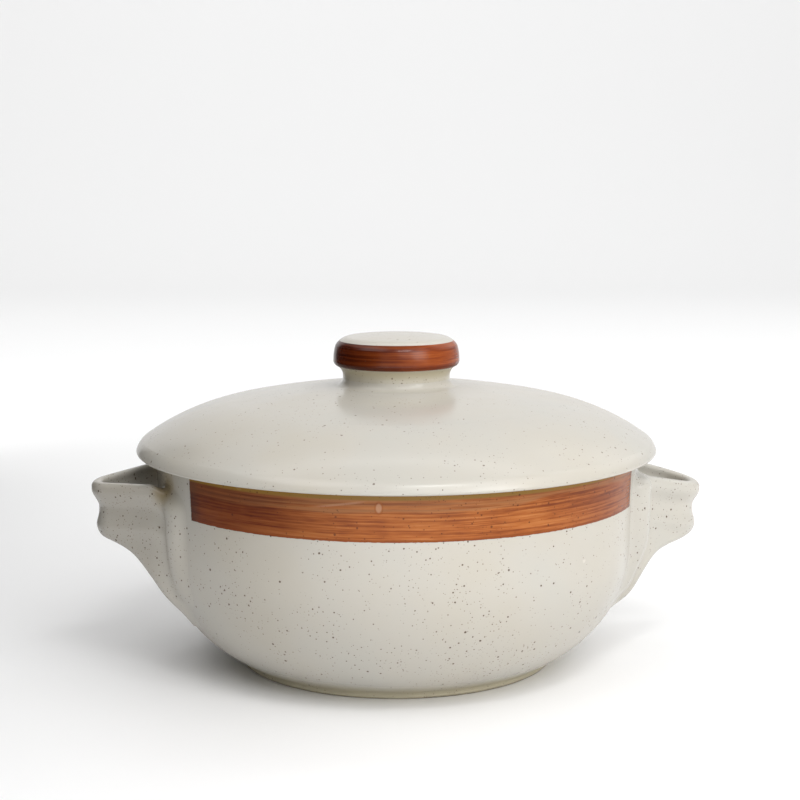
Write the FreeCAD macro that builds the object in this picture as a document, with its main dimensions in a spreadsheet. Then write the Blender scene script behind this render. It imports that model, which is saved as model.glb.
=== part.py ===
import FreeCAD, Part
import math
import os
import Sketcher

# A covered stoneware casserole: a thrown bowl on a foot ring, two pulled strap handles,
# and a domed lid with a locating flange and a flat knob.  Iron-brown bands are brushed
# round the knob and, front and rear, between the handles.
#
# Millimetres.  Z is the axis of the pot and points up, z = 0 is the table, the handles
# point along +X (right) and -X (left), and -Y is the front.

Vector = FreeCAD.Vector
Rotation = FreeCAD.Rotation
Placement = FreeCAD.Placement

doc = FreeCAD.newDocument("casserole")

# ------------------------------------------------------------------ driving dimensions

SIZES = [
    ("Bowl", [
        ("rim_radius", 111.2, "outside of the wall at the rim"),
        ("rim_height", 99.0, "top of the rim above the table"),
        ("rim_round", 2.0, "rounding of both corners of the rim"),
        ("wall", 6.0, "thickness of the bowl's wall"),
        ("wall_flare", 1.1, "how far the wall leans out from the belly to the rim"),
        ("wall_height", 38.7, "from the rim down to where the wall turns into the belly"),
        ("belly_tuck", 34.3, "how far the underside draws in from the belly"),
        ("floor_level", 11.0, "inside floor above the table"),
        ("floor_round", 25.0, "curve between the inside floor and the belly"),
    ]),
    ("Foot ring", [
        ("foot_inset", 2.6, "how far the ring stands in from the edge of the underside"),
        ("foot_width", 7.0, "thickness of the foot ring"),
        ("foot_height", 4.2, "height of the foot ring"),
        ("foot_round", 1.2, "rounding of its standing edges"),
        ("foot_side", 1.8, "top of its upright side"),
        ("foot_curve", 3.6, "hollow curve from there out to the bowl"),
    ]),
    ("Brushed bands on the bowl", [
        ("band_width", 19.5, "height of the band, below the rim's rounding"),
        ("band_depth", 0.4, "depth of the iron layer in the glaze"),
        ("band_sweep", 123.4, "degrees of the bowl that each band covers"),
    ]),
    ("Lid, rises above the rim of the bowl", [
        ("lid_overhang", 8.8, "how far the lid stands out past the rim"),
        ("lid_rise", 29.3, "top that the dome would have on the axis"),
        ("shoulder_drop", 7.88, "fall of the dome from that top to the shoulder"),
        ("shoulder_inset", 41.4, "from the outside of the lid in to where the shoulder begins"),
        ("shoulder_radius", 101.4, "curve of the shoulder"),
        ("edge_radius", 8.2, "curve of the turned-down edge"),
        ("lip_rise", 0.6, "where the edge turns under"),
        ("lip_round", 1.0, "rounding of the thin lip"),
        ("lid_wall", 5.5, "thickness of the dome"),
        ("hollow_round", 12.0, "curve between the dome's inside and the flange"),
        ("seat_gap", 0.3, "play between the rim and the lid's seat"),
        ("seat_margin", 2.2, "how far the flat seat runs past the rim"),
        ("flange_gap", 2.5, "play between the flange and the mouth"),
        ("flange_width", 5.0, "thickness of the flange"),
        ("flange_depth", 9.0, "how far the flange hangs below the seat"),
        ("flange_round", 1.5, "rounding of the flange's lower corners"),
        ("boss_rise", 2.7, "flat that carries the knob, above the top of the dome"),
        ("neck_fillet", 3.5, "curve from the dome into the neck"),
    ]),
    ("Knob, rises above its seat on the lid", [
        ("neck_radius", 24.8, "waist of the knob"),
        ("neck_rise", 1.5, "end of the straight neck"),
        ("neck_curve", 5.1, "curve of the neck under the knob"),
        ("under_radius", 27.9, "lower corner of the knob"),
        ("under_rise", 5.9, "its height"),
        ("under_curve", 2.6, "curve from the lower corner to the widest place"),
        ("knob_radius", 29.15, "widest place"),
        ("widest_rise", 8.5, "its height"),
        ("side_curve", 23.0, "curve of the side"),
        ("brow_radius", 28.2, "upper corner of the side"),
        ("brow_rise", 15.0, "its height"),
        ("brow_curve", 8.3, "curve from the side to the top"),
        ("top_radius", 22.9, "edge of the top"),
        ("top_rise", 19.0, "its height"),
        ("knob_rise", 20.5, "middle of the top"),
        ("knob_band_rise", 17.3, "upper edge of the iron band"),
        ("knob_band_core", 25.6, "inside of the iron band"),
    ]),
    ("Strap handles", [
        ("strap_wall", 5.2, "thickness of the strap"),
        ("tip_round", 19.0, "outside curve of the loop at its tip"),
        ("splay", 35.0, "degrees that each side of the loop opens towards the bowl"),
        ("strap_edge", 2.0, "rounding of the strap's long edges"),
        ("edge_share", 0.4, "the most of the strap's wall that this rounding may take"),
        ("toe_arc", 120.0, "curve of the lower edge down to its lowest point"),
        ("root_depth", 26.0, "how far the strap is drawn on inside the rim's radius, to be cut to the bowl"),
        ("pad_thickness", 4.0, "how far the flared ends stand off the bowl"),
        ("pad_lap", 3.1, "how far a flared end runs in behind the strap"),
        ("pad_spread", 11.7, "how far it runs on past the strap, at the top"),
        ("pad_toe", 6.9, "how far it runs on past the strap, at the bottom"),
        ("pad_arc", 82.0, "curve of the far side"),
        ("pad_drop", 3.0, "how far a flared end stops below the strap's root"),
    ]),
    ("Left handle, drops below the rim", [
        ("left_loop", 29.6, "from the rim out to the tip of the loop"),
        ("left_tip_drop", 12.7, "top of the loop at its tip"),
        ("left_root_drop", 9.5, "top of the loop over the rim's radius"),
        ("left_width", 25.3, "height of the strap at the tip"),
        ("left_bend", 2.5, "from the loop's inner curve in to where the lower edge starts to fall"),
        ("left_knee", 3.4, "from the rim out to where that curve turns the other way"),
        ("left_knee_drop", 50.0, "its level"),
        ("left_toe", 12.2, "from the rim in to the lowest point of the strap"),
        ("left_toe_drop", 66.0, "its level"),
    ]),
    ("Right handle, set a little lower and longer by hand", [
        ("right_loop", 33.4, "from the rim out to the tip of the loop"),
        ("right_tip_drop", 19.2, "top of the loop at its tip"),
        ("right_root_drop", 11.8, "top of the loop over the rim's radius"),
        ("right_width", 23.8, "height of the strap at the tip"),
        ("right_bend", 2.5, "from the loop's inner curve in to where the lower edge starts to fall"),
        ("right_knee", 2.3, "from the rim out to where that curve turns the other way"),
        ("right_knee_drop", 54.2, "its level"),
        ("right_toe", 10.7, "from the rim in to the lowest point of the strap"),
        ("right_toe_drop", 67.0, "its level"),
    ]),
]

# Places that follow from the sizes above.
DERIVED = [
    ("Bowl", [
        ("round_level", "rim_height - rim_round"),
        ("belly_height", "rim_height - wall_height"),
        ("belly_depth", "belly_height - foot_height"),
        ("belly_wall", "rim_radius - wall_flare"),
        ("belly_radius", "(belly_tuck ^ 2 + belly_depth ^ 2) / (2 * belly_tuck)"),
        ("belly_centre", "belly_wall - belly_radius"),
        ("underside_radius", "belly_wall - belly_tuck"),
        ("flare_rise", "round_level - belly_height"),
        ("flare_curve", "(flare_rise ^ 2 + wall_flare ^ 2) / (2 * wall_flare)"),
        ("rim_land_out", "rim_radius - rim_round"),
        ("rim_land_in", "rim_radius - wall + rim_round"),
        ("mouth_radius", "rim_radius - wall"),
        ("belly_inside", "belly_wall - wall"),
        ("inner_belly", "belly_radius - wall"),
        ("inner_flare", "flare_curve + wall"),
        ("floor_reach", "belly_height - floor_level - floor_round"),
        ("floor_radius", "belly_centre + sqrt((inner_belly - floor_round) ^ 2 - floor_reach ^ 2)"),
        ("floor_share", "inner_belly / (inner_belly - floor_round)"),
        ("corner_radius", "belly_centre + floor_share * (floor_radius - belly_centre)"),
        ("corner_level", "belly_height - floor_share * floor_reach"),
    ]),
    ("Foot ring", [
        ("foot_radius", "underside_radius - foot_inset"),
        ("foot_inside", "foot_radius - foot_width"),
        ("foot_land_out", "foot_radius - foot_round"),
        ("foot_land_in", "foot_inside + foot_round"),
    ]),
    ("Band", [
        ("band_low", "round_level - band_width"),
        ("band_climb", "band_low - belly_height"),
        ("band_low_radius", "belly_wall + flare_curve - sqrt(flare_curve ^ 2 - band_climb ^ 2)"),
        ("band_low_core", "band_low_radius - band_depth"),
        ("band_top_core", "rim_radius - band_depth"),
        ("band_curve", "flare_curve + band_depth"),
    ]),
    ("Lid", [
        ("lid_radius", "rim_radius + lid_overhang"),
        ("lid_apex", "rim_height + lid_rise"),
        ("shoulder_start", "lid_radius - shoulder_inset"),
        ("shoulder_start_level", "lid_apex - shoulder_drop"),
        ("crown_radius", "(shoulder_start ^ 2 + shoulder_drop ^ 2) / (2 * shoulder_drop)"),
        ("crown_centre", "lid_apex - crown_radius"),
        ("shoulder_share", "shoulder_radius / crown_radius"),
        ("shoulder_centre", "shoulder_start - shoulder_share * shoulder_start"),
        ("shoulder_rise", "shoulder_share * (shoulder_start_level - crown_centre)"),
        ("shoulder_level", "shoulder_start_level - shoulder_rise"),
        ("edge_centre", "lid_radius - edge_radius"),
        ("edge_sine", "(edge_centre - shoulder_centre) / (shoulder_radius - edge_radius)"),
        ("edge_cosine", "sqrt(1 - edge_sine ^ 2)"),
        ("edge_level", "shoulder_level + (shoulder_radius - edge_radius) * edge_cosine"),
        ("edge_start", "edge_centre + edge_radius * edge_sine"),
        ("edge_start_level", "edge_level + edge_radius * edge_cosine"),
        ("lip_level", "rim_height + lip_rise"),
        ("lip_cosine", "(lip_level - edge_level) / edge_radius"),
        ("lip_sine", "sqrt(1 - lip_cosine ^ 2)"),
        ("lip_radius", "edge_centre + edge_radius * lip_sine"),
        ("lip_centre", "edge_centre + (edge_radius - lip_round) * lip_sine"),
        ("lip_bottom", "edge_level + (edge_radius - lip_round) * lip_cosine - lip_round"),
        ("seat_level", "rim_height + seat_gap"),
        ("seat_radius", "rim_radius + seat_margin"),
        ("flange_radius", "mouth_radius - flange_gap"),
        ("hollow_radius", "flange_radius - flange_width"),
        ("inner_crown", "crown_radius - lid_wall"),
        ("hollow_centre", "hollow_radius - hollow_round"),
        ("hollow_level", "crown_centre + sqrt((inner_crown - hollow_round) ^ 2 - hollow_centre ^ 2)"),
        ("hollow_share", "inner_crown / (inner_crown - hollow_round)"),
        ("hollow_start", "hollow_share * hollow_centre"),
        ("hollow_start_level", "crown_centre + hollow_share * (hollow_level - crown_centre)"),
        ("hollow_apex", "lid_apex - lid_wall"),
        ("flange_low", "seat_level - flange_depth"),
        ("flange_round_level", "flange_low + flange_round"),
        ("flange_land_out", "flange_radius - flange_round"),
        ("flange_land_in", "hollow_radius + flange_round"),
        ("boss_level", "lid_apex + boss_rise"),
        ("fillet_centre", "neck_radius + neck_fillet"),
        ("fillet_level", "crown_centre + sqrt((crown_radius + neck_fillet) ^ 2 - fillet_centre ^ 2)"),
        ("fillet_share", "crown_radius / (crown_radius + neck_fillet)"),
        ("fillet_start", "fillet_share * fillet_centre"),
        ("fillet_start_level", "crown_centre + fillet_share * (fillet_level - crown_centre)"),
    ]),
    ("Knob", [
        ("brow_run", "brow_radius - top_radius"),
        ("brow_climb", "top_rise - brow_rise"),
        ("brow_chord", "sqrt(brow_run ^ 2 + brow_climb ^ 2)"),
        ("brow_arm", "sqrt(brow_curve ^ 2 - brow_chord ^ 2 / 4) / brow_chord"),
        ("brow_centre", "(brow_radius + top_radius) / 2 - brow_arm * brow_climb"),
        ("brow_level", "(brow_rise + top_rise) / 2 - brow_arm * brow_run"),
        ("band_edge", "brow_centre + sqrt(brow_curve ^ 2 - (knob_band_rise - brow_level) ^ 2)"),
        ("top_curve", "(top_radius ^ 2 + (knob_rise - top_rise) ^ 2) / (2 * (knob_rise - top_rise))"),
    ]),
    ("Strap handles", [
        ("inner_round", "tip_round - strap_wall"),
        ("crossing", "strap_wall / cos(splay * 1 deg)"),
        ("edge_round", "min(strap_edge; edge_share * strap_wall)"),
        ("root_cut", "rim_radius - root_depth"),
        ("bend_out_side", "tip_round * cos(splay * 1 deg)"),
        ("bend_in_side", "inner_round * cos(splay * 1 deg)"),
        ("pad_belly", "belly_radius + pad_thickness"),
        ("pad_wall", "belly_wall + pad_thickness"),
        ("pad_rim", "rim_radius + pad_thickness"),
        ("pad_flare", "flare_curve - pad_thickness"),
        ("pad_base", "belly_centre + sqrt(pad_belly ^ 2 - belly_depth ^ 2)"),
    ]),
]
for hand in ("left", "right"):
    DERIVED.append((f"Strap handle, {hand}", [
        (f"{hand}_reach", f"rim_radius + {hand}_loop"),
        (f"{hand}_knee_reach", f"rim_radius + {hand}_knee"),
        (f"{hand}_toe_reach", f"rim_radius - {hand}_toe"),
        (f"{hand}_tip_level", f"rim_height - {hand}_tip_drop"),
        (f"{hand}_root_level", f"rim_height - {hand}_root_drop"),
        (f"{hand}_under_level", f"{hand}_tip_level - {hand}_width"),
        (f"{hand}_knee_level", f"rim_height - {hand}_knee_drop"),
        (f"{hand}_toe_level", f"rim_height - {hand}_toe_drop"),
        (f"{hand}_centre", f"{hand}_reach - tip_round"),
        (f"{hand}_bend_out", f"{hand}_centre + tip_round * sin(splay * 1 deg)"),
        (f"{hand}_bend_in", f"{hand}_centre + inner_round * sin(splay * 1 deg)"),
        (f"{hand}_bend_reach", f"{hand}_bend_in - {hand}_bend"),
        (f"{hand}_fall_run", f"{hand}_bend_reach - {hand}_knee_reach"),
        (f"{hand}_fall", f"{hand}_under_level - {hand}_knee_level"),
        (f"{hand}_under_arc", f"({hand}_fall_run ^ 2 + {hand}_fall ^ 2) / (2 * {hand}_fall)"),
        (f"{hand}_side_out", f"bend_out_side + ({hand}_bend_out - root_cut) * tan(splay * 1 deg)"),
        (f"{hand}_side_in", f"bend_in_side + ({hand}_bend_in - root_cut) * tan(splay * 1 deg)"),
        (f"{hand}_slope", f"({hand}_tip_drop - {hand}_root_drop) / {hand}_loop"),
        (f"{hand}_high", f"{hand}_root_level + {hand}_slope * root_depth"),
        (f"{hand}_clear_reach", f"{hand}_reach + strap_wall"),
        (f"{hand}_clear_level", f"{hand}_tip_level - {hand}_slope * strap_wall"),
        (f"{hand}_pad_top", f"{hand}_root_level - pad_drop"),
        (f"{hand}_rim_side", f"bend_out_side + ({hand}_bend_out - rim_radius) * tan(splay * 1 deg)"),
        (f"{hand}_pad_near", f"{hand}_rim_side - pad_lap"),
        (f"{hand}_pad_far", f"{hand}_rim_side + pad_spread"),
        (f"{hand}_pad_foot", f"{hand}_rim_side + pad_toe"),
    ]))


def fill_sheet():
    """The spreadsheet: one row to a size, its name as the alias of its value."""
    sizes = doc.addObject("Spreadsheet::Sheet", "Sizes")
    row = 1
    for title, entries in SIZES:
        sizes.set(f"A{row}", title)
        for name, number, note in entries:
            row += 1
            sizes.set(f"A{row}", name)
            sizes.set(f"B{row}", str(number))
            sizes.set(f"C{row}", note)
            sizes.setAlias(f"B{row}", name)
        row += 2
    for title, entries in DERIVED:
        sizes.set(f"A{row}", title + ", worked out")
        for name, formula in entries:
            row += 1
            sizes.set(f"A{row}", name)
            sizes.set(f"B{row}", "=" + formula)
            sizes.setAlias(f"B{row}", name)
        row += 2
    doc.recompute()
    return sizes


sheet = fill_sheet()


def size(name):
    """The number behind an alias.  "0" is zero, and a leading minus changes the sign."""
    if name == "0":
        return 0.0
    if name.startswith("-"):
        return -size(name[1:])
    return float(getattr(sheet, name))


def cell(name):
    """The expression that binds a property to an alias."""
    return f"-Sizes.{name[1:]}" if name.startswith("-") else f"Sizes.{name}"


# ------------------------------------------------------------------ sketches

START, END = 1, 2
ORIGIN, ROOT_POINT = -1, 1
X_AXIS, Y_AXIS = -1, -2
LEFT, RIGHT = 1, -1

# An edge counts as upright when its rise is this share of its length, and two places
# count as one when they are this close.
UPRIGHT = 0.95
TOUCH = 0.01


def new_body(name):
    return doc.addObject("PartDesign::Body", name)


def new_sketch(body, name, role):
    """A sketch on one of the body's own origin planes."""
    sketch = body.newObject("Sketcher::SketchObject", name)
    planes = [plane for plane in body.Origin.OriginFeatures if plane.Role == role]
    sketch.AttachmentSupport = [(planes[0], "")]
    sketch.MapMode = "FlatFace"
    return sketch


def bind(sketch, kind, *where, name):
    """A dimensional constraint that follows the sheet."""
    index = sketch.addConstraint(Sketcher.Constraint(kind, *where, size(name)))
    sketch.setExpression(f"Constraints[{index}]", cell(name))


def arc_between(start, end, radius, side):
    """The short arc from start to end, with its centre on the given side of that way."""
    chord = end - start
    half = chord.Length / 2
    across = Vector(-chord.y, chord.x, 0).normalize()
    centre = (start + end) / 2 + across * side * math.sqrt(radius ** 2 - half ** 2)
    first, last = (start, end) if side == LEFT else (end, start)
    angles = [math.atan2(point.y - centre.y, point.x - centre.x) for point in (first, last)]
    if angles[1] < angles[0]:
        angles[1] += 2 * math.pi
    return Part.ArcOfCircle(Part.Circle(centre, Vector(0, 0, 1), radius), *angles)


def draw(sketch, start, *steps):
    """A closed outline through corners that are named in the sheet.

    Each step is a corner, and for an arc also the name of its radius and the side that its
    centre lies on, seen along the way.  The last step leads back to the start.
    """
    here = start
    chain = []
    for corner, *curve in steps:
        tail = Vector(size(here[0]), size(here[1]), 0)
        head = Vector(size(corner[0]), size(corner[1]), 0)
        if curve:
            radius, side = curve
            edge = sketch.addGeometry(arc_between(tail, head, size(radius), side), False)
            bind(sketch, "Radius", edge, name=radius)
            ends = (START, END) if side == LEFT else (END, START)
        else:
            edge = sketch.addGeometry(Part.LineSegment(tail, head), False)
            ends = (START, END)
        chain.append((edge, *ends))
        pin(sketch, edge, ends[0], here)
        here = corner
    for (edge, _, last), (following, first, _) in zip(chain, chain[1:] + chain[:1]):
        sketch.addConstraint(Sketcher.Constraint("Coincident", edge, last, following, first))


def pin(sketch, edge, end, corner):
    """Hold one end of an edge at a named place."""
    across, up = corner
    if across == "0":
        sketch.addConstraint(Sketcher.Constraint("PointOnObject", edge, end, Y_AXIS))
    else:
        bind(sketch, "DistanceX", ORIGIN, ROOT_POINT, edge, end, name=across)
    if up == "0":
        sketch.addConstraint(Sketcher.Constraint("PointOnObject", edge, end, X_AXIS))
    else:
        bind(sketch, "DistanceY", ORIGIN, ROOT_POINT, edge, end, name=up)


# ------------------------------------------------------------------ features


def turned(name, start, *steps, sweep=None):
    """A body turned about Z from half of its section."""
    body = new_body(name)
    sketch = new_sketch(body, name + "_section", "XZ_Plane")
    draw(sketch, start, *steps)
    turning = body.newObject("PartDesign::Revolution", name + "_turning")
    turning.Profile = sketch
    turning.ReferenceAxis = (sketch, ["V_Axis"])
    if sweep:
        turning.Midplane = True
        turning.setExpression("Angle", cell(sweep))
    return body


def padded(name, role, length, start, *steps, both_ways=False):
    """A body padded from an outline on one of its origin planes."""
    body = new_body(name)
    sketch = new_sketch(body, name + "_outline", role)
    draw(sketch, start, *steps)
    pad = body.newObject("PartDesign::Pad", name + "_pad")
    pad.Profile = sketch
    pad.Midplane = both_ways
    pad.setExpression("Length", length)
    return body


def combined(kind, name, **links):
    """A boolean, compound or mirror of finished bodies."""
    result = doc.addObject(kind, name)
    for link, target in links.items():
        setattr(result, link, target)
    return result


# ------------------------------------------------------------------ bowl, foot and bands


def bowl_form(name, base, belly, wall, flare, rim):
    """A solid with the bowl's outside, or one that stands off it, up to the rim's rounding."""
    return turned(
        name,
        ("0", "foot_height"),
        [(base, "foot_height")],
        [(wall, "belly_height"), belly, LEFT],
        [(rim, "round_level"), flare, RIGHT],
        [("0", "round_level")],
        [("0", "foot_height")],
    )


def rim_band(name):
    """One brushed band, flush with the bowl's outside, centred on +X before it is placed."""
    return turned(
        name,
        ("band_low_core", "band_low"),
        [("band_low_radius", "band_low")],
        [("rim_radius", "round_level"), "flare_curve", RIGHT],
        [("band_top_core", "round_level")],
        [("band_low_core", "band_low"), "band_curve", LEFT],
        sweep="band_sweep",
    )


def bowl():
    """The thrown bowl, with a shallow bed for each brushed band."""
    thrown = turned(
        "bowl_thrown",
        ("0", "foot_height"),
        [("underside_radius", "foot_height")],
        [("belly_wall", "belly_height"), "belly_radius", LEFT],
        [("rim_radius", "round_level"), "flare_curve", RIGHT],
        [("rim_land_out", "rim_height"), "rim_round", LEFT],
        [("rim_land_in", "rim_height")],
        [("mouth_radius", "round_level"), "rim_round", LEFT],
        [("belly_inside", "belly_height"), "inner_flare", LEFT],
        [("corner_radius", "corner_level"), "inner_belly", RIGHT],
        [("floor_radius", "floor_level"), "floor_round", RIGHT],
        [("0", "floor_level")],
        [("0", "foot_height")],
    )
    beds = combined("Part::Compound", "band_beds", Links=[bands["front"], bands["rear"]])
    return combined("Part::Cut", "bowl", Base=thrown, Tool=beds)


def foot_ring():
    return turned(
        "foot_ring",
        ("foot_inside", "foot_height"),
        [("foot_inside", "foot_round")],
        [("foot_land_in", "0"), "foot_round", LEFT],
        [("foot_land_out", "0")],
        [("foot_radius", "foot_round"), "foot_round", LEFT],
        [("foot_radius", "foot_side")],
        [("underside_radius", "foot_height"), "foot_curve", RIGHT],
        [("foot_inside", "foot_height")],
    )


# ------------------------------------------------------------------ handles


def strap(side):
    """The loop of one handle, pointing along +X: its plan cut to its side outline."""
    plan = padded(
        f"{side}_loop",
        "XY_Plane",
        "Sizes.rim_height",
        ("root_cut", f"{side}_side_out"),
        [(f"{side}_bend_out", "bend_out_side")],
        [(f"{side}_bend_out", "-bend_out_side"), "tip_round", RIGHT],
        [("root_cut", f"-{side}_side_out")],
        [("root_cut", f"-{side}_side_in")],
        [(f"{side}_bend_in", "-bend_in_side")],
        [(f"{side}_bend_in", "bend_in_side"), "inner_round", LEFT],
        [("root_cut", f"{side}_side_in")],
        [("root_cut", f"{side}_side_out")],
    )
    profile = padded(
        f"{side}_profile",
        "XZ_Plane",
        f"2 * Sizes.{side}_side_out + Sizes.strap_wall",
        ("root_cut", f"{side}_high"),
        [("root_cut", f"{side}_toe_level")],
        [(f"{side}_toe_reach", f"{side}_toe_level")],
        [(f"{side}_knee_reach", f"{side}_knee_level"), "toe_arc", LEFT],
        [(f"{side}_bend_reach", f"{side}_under_level"), f"{side}_under_arc", RIGHT],
        [(f"{side}_clear_reach", f"{side}_under_level")],
        [(f"{side}_clear_reach", f"{side}_clear_level")],
        [("root_cut", f"{side}_high")],
        both_ways=True,
    )
    block = combined("Part::Common", f"{side}_strap_block", Base=plan, Tool=profile)
    doc.recompute()
    rounded = doc.addObject("Part::Fillet", f"{side}_strap")
    rounded.Base = block
    radius = size("edge_round")
    rounded.Edges = [(number, radius, radius) for number in long_edges(block.Shape, side)]
    return rounded


def long_edges(shape, side):
    """Numbers of the edges that run along the loop's top and lower edge."""
    numbers = []
    for number, edge in enumerate(shape.Edges, start=1):
        middle = edge.valueAt((edge.FirstParameter + edge.LastParameter) / 2)
        upright = edge.BoundBox.ZLength > UPRIGHT * edge.Length
        across = abs(edge.Length - size("crossing")) < TOUCH
        at_root = edge.BoundBox.XMax < size("root_cut") + TOUCH
        at_toe = middle.z < size(f"{side}_toe_level") + TOUCH
        if not (upright or across or at_root or at_toe):
            numbers.append(number)
    return numbers


def flared_ends(side, pad_form):
    """The two thin pads where the strap's ends are pressed on to the bowl."""
    leaf = padded(
        f"{side}_leaf",
        "YZ_Plane",
        f"Sizes.{side}_reach",
        (f"{side}_pad_near", f"{side}_pad_top"),
        [(f"{side}_pad_near", f"{side}_toe_level")],
        [(f"{side}_pad_foot", f"{side}_toe_level")],
        [(f"{side}_pad_far", f"{side}_pad_top"), "pad_arc", LEFT],
        [(f"{side}_pad_near", f"{side}_pad_top")],
    )
    other = combined("Part::Mirroring", f"{side}_other_leaf", Source=leaf, Normal=Vector(0, 1, 0))
    leaves = combined("Part::Compound", f"{side}_leaves", Links=[leaf, other])
    return combined("Part::Common", f"{side}_flares", Base=leaves, Tool=pad_form)


def handle(side, angle, pad_form, pot_form):
    """One handle, cut to sit on the bowl and swung round the pot to its place."""
    parts = [strap(side), flared_ends(side, pad_form)]
    whole = combined("Part::MultiFuse", f"{side}_whole", Shapes=parts)
    result = combined("Part::Cut", f"handle_{side}", Base=whole, Tool=pot_form)
    result.Placement = Placement(Vector(), Rotation(Vector(0, 0, 1), angle))
    return result


# ------------------------------------------------------------------ lid and knob


def lid():
    """The domed lid: crown, shoulder and edge in tangent arcs, with a boss for the knob."""
    return turned(
        "lid",
        ("0", "hollow_apex"),
        [("hollow_start", "hollow_start_level"), "inner_crown", RIGHT],
        [("hollow_radius", "hollow_level"), "hollow_round", RIGHT],
        [("hollow_radius", "seat_level")],
        [("seat_radius", "seat_level")],
        [("lip_centre", "lip_bottom")],
        [("lip_radius", "lip_level"), "lip_round", LEFT],
        [("edge_start", "edge_start_level"), "edge_radius", LEFT],
        [("shoulder_start", "shoulder_start_level"), "shoulder_radius", LEFT],
        [("fillet_start", "fillet_start_level"), "crown_radius", LEFT],
        [("neck_radius", "fillet_level"), "neck_fillet", RIGHT],
        [("neck_radius", "boss_level")],
        [("0", "boss_level")],
        [("0", "hollow_apex")],
    )


def lid_flange():
    """The ring that drops into the mouth and keeps the lid central."""
    return turned(
        "lid_flange",
        ("hollow_radius", "seat_level"),
        [("hollow_radius", "flange_round_level")],
        [("flange_land_in", "flange_low"), "flange_round", LEFT],
        [("flange_land_out", "flange_low")],
        [("flange_radius", "flange_round_level"), "flange_round", LEFT],
        [("flange_radius", "seat_level")],
        [("hollow_radius", "seat_level")],
    )


def knob():
    """The flat knob, with a bed round its side for the brushed band."""
    body = turned(
        "knob",
        ("0", "0"),
        [("neck_radius", "0")],
        [("neck_radius", "neck_rise")],
        [("under_radius", "under_rise"), "neck_curve", RIGHT],
        [("knob_band_core", "under_rise")],
        [("knob_band_core", "knob_band_rise")],
        [("band_edge", "knob_band_rise")],
        [("top_radius", "top_rise"), "brow_curve", LEFT],
        [("0", "knob_rise"), "top_curve", LEFT],
        [("0", "0")],
    )
    body.setExpression("Placement.Base.z", "Sizes.boss_level")
    return body


def knob_band():
    """The brushed band, flush with the knob's side."""
    body = turned(
        "knob_band",
        ("knob_band_core", "under_rise"),
        [("under_radius", "under_rise")],
        [("knob_radius", "widest_rise"), "under_curve", LEFT],
        [("brow_radius", "brow_rise"), "side_curve", LEFT],
        [("band_edge", "knob_band_rise"), "brow_curve", LEFT],
        [("knob_band_core", "knob_band_rise")],
        [("knob_band_core", "under_rise")],
    )
    body.setExpression("Placement.Base.z", "Sizes.boss_level")
    return body


# ------------------------------------------------------------------ assembly

FRONT_ANGLE, REAR_ANGLE = -90, 90
RIGHT_ANGLE, LEFT_ANGLE = 0, 180

bands = {"front": rim_band("rim_band_front"), "rear": rim_band("rim_band_rear")}
for place, angle in (("front", FRONT_ANGLE), ("rear", REAR_ANGLE)):
    bands[place].Placement = Placement(Vector(), Rotation(Vector(0, 0, 1), angle))

pot_outline = ("underside_radius", "belly_radius", "belly_wall", "flare_curve", "rim_radius")
pad_outline = ("pad_base", "pad_belly", "pad_wall", "pad_flare", "pad_rim")
pot_form = bowl_form("pot_form", *pot_outline)
pad_form = bowl_form("pad_form", *pad_outline)

PIECES = [
    bowl(),
    foot_ring(),
    bands["front"],
    bands["rear"],
    handle("left", LEFT_ANGLE, pad_form, pot_form),
    handle("right", RIGHT_ANGLE, pad_form, pot_form),
    lid(),
    lid_flange(),
    knob(),
    knob_band(),
]


def check_document():
    """Stop if any object failed or any piece is not one sound solid."""
    doc.recompute()
    for item in doc.Objects:
        if {"Invalid", "Error"} & set(item.State):
            raise RuntimeError(f"{item.Label} failed: {item.State}")
    for piece in PIECES:
        if piece.Shape.isNull() or not piece.Shape.isValid():
            raise RuntimeError(f"{piece.Label} has no valid shape")
        if len(piece.Shape.Solids) != 1:
            raise RuntimeError(f"{piece.Label} is in {len(piece.Shape.Solids)} pieces")


def write_pieces():
    os.makedirs("parts", exist_ok=True)
    for piece in PIECES:
        piece.Shape.exportStep(f"parts/{piece.Label}.step")
        box = piece.Shape.optimalBoundingBox(False)
        print(f"{piece.Label:16s} {len(piece.Shape.Solids)} solid(s) {piece.Shape.Volume / 1000:8.2f} cm3"
              f"  x {box.XMin:.1f}..{box.XMax:.1f}  y {box.YMin:.1f}..{box.YMax:.1f}"
              f"  z {box.ZMin:.1f}..{box.ZMax:.1f}")


check_document()
write_pieces()
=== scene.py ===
import math

import bpy
import numpy as np
from mathutils import Matrix, Vector


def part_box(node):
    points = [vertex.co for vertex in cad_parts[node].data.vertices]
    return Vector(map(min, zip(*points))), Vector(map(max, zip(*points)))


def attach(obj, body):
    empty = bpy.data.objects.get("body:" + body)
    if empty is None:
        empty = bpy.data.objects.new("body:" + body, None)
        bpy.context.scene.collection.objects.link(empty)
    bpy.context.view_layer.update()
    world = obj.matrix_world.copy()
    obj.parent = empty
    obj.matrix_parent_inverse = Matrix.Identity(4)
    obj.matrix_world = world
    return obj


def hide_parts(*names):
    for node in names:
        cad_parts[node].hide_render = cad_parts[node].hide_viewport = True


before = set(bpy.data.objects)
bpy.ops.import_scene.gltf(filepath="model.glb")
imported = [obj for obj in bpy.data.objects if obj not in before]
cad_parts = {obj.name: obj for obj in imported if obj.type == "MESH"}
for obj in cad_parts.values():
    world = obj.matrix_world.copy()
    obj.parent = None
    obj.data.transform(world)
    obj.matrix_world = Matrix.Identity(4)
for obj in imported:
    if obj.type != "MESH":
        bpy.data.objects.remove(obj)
bpy.context.view_layer.update()

# The looks of a speckled stoneware casserole.  Metres, in the frame of the CAD: Z is the
# axis of the pot, +X goes through the right handle, -Y is the front.

MM = 0.001

# ------------------------------------------------------------------ camera and studio

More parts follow.
